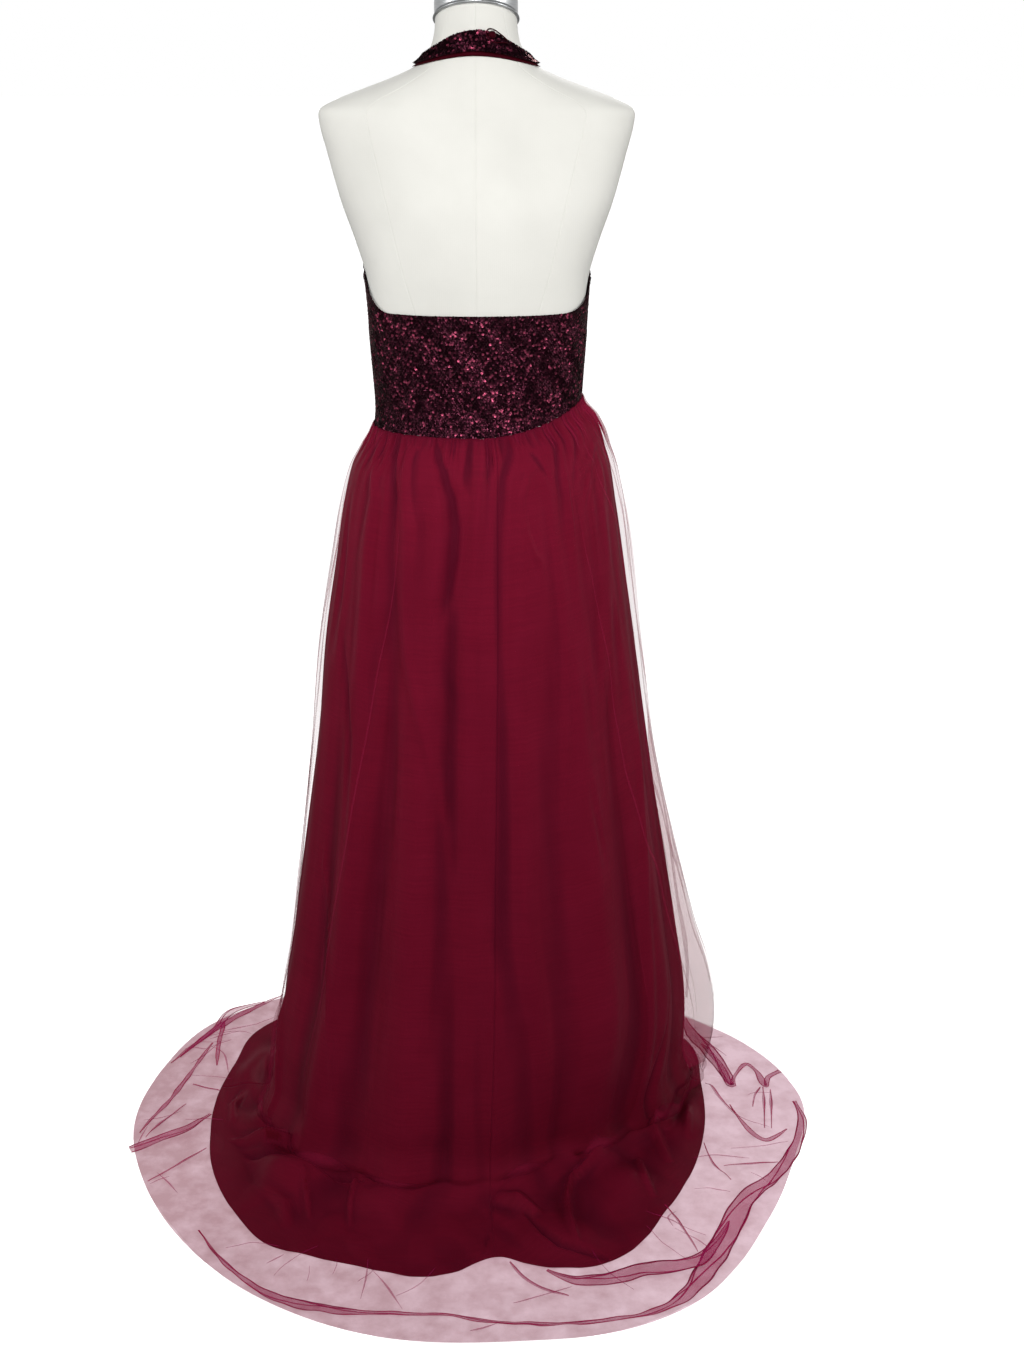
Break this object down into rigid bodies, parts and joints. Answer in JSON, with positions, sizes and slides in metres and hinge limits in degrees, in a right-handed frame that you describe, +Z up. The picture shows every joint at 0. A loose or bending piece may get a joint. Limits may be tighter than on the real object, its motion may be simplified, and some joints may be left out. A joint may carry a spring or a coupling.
{
  "type": "halter evening gown with a train on a limbless dress form",
  "caption": "Floor-length halter gown with a sequinned bodice, bare back, gathered satin skirt with a short train and a sheer tulle overskirt, on a limbless dress form.",
  "frame": {"origin": "on the floor, under the middle of the form's pole", "axes": "+Z up; the wearer's front faces -Y and the train runs towards +Y; the wearer's left is +X"},
  "size_m": [0.9736, 0.8936, 1.536],
  "materials": {
    "satin": "lustrous woven satin",
    "tulle": "fine sheer net",
    "sequins": "net closely covered in glossy sequins",
    "form_cover": "taut matte jersey over a padded form",
    "steel": "brushed",
    "black_iron": "satin black enamel"
  },
  "bodies": {
    "root": {"form_torso": "form_cover", "form_neck_cap": "steel", "form_pole": "steel", "form_base": "black_iron", "bodice_front": "sequins", "bodice_back": "sequins", "neckband": "sequins", "neckband_facing": "satin", "neck_button": "satin", "button_loop": "satin", "satin_front": "satin", "satin_back_left": "satin", "satin_back_right": "satin", "tulle_front": "tulle", "tulle_back_left": "tulle", "tulle_back_right": "tulle"}
  },
  "joints": []
}
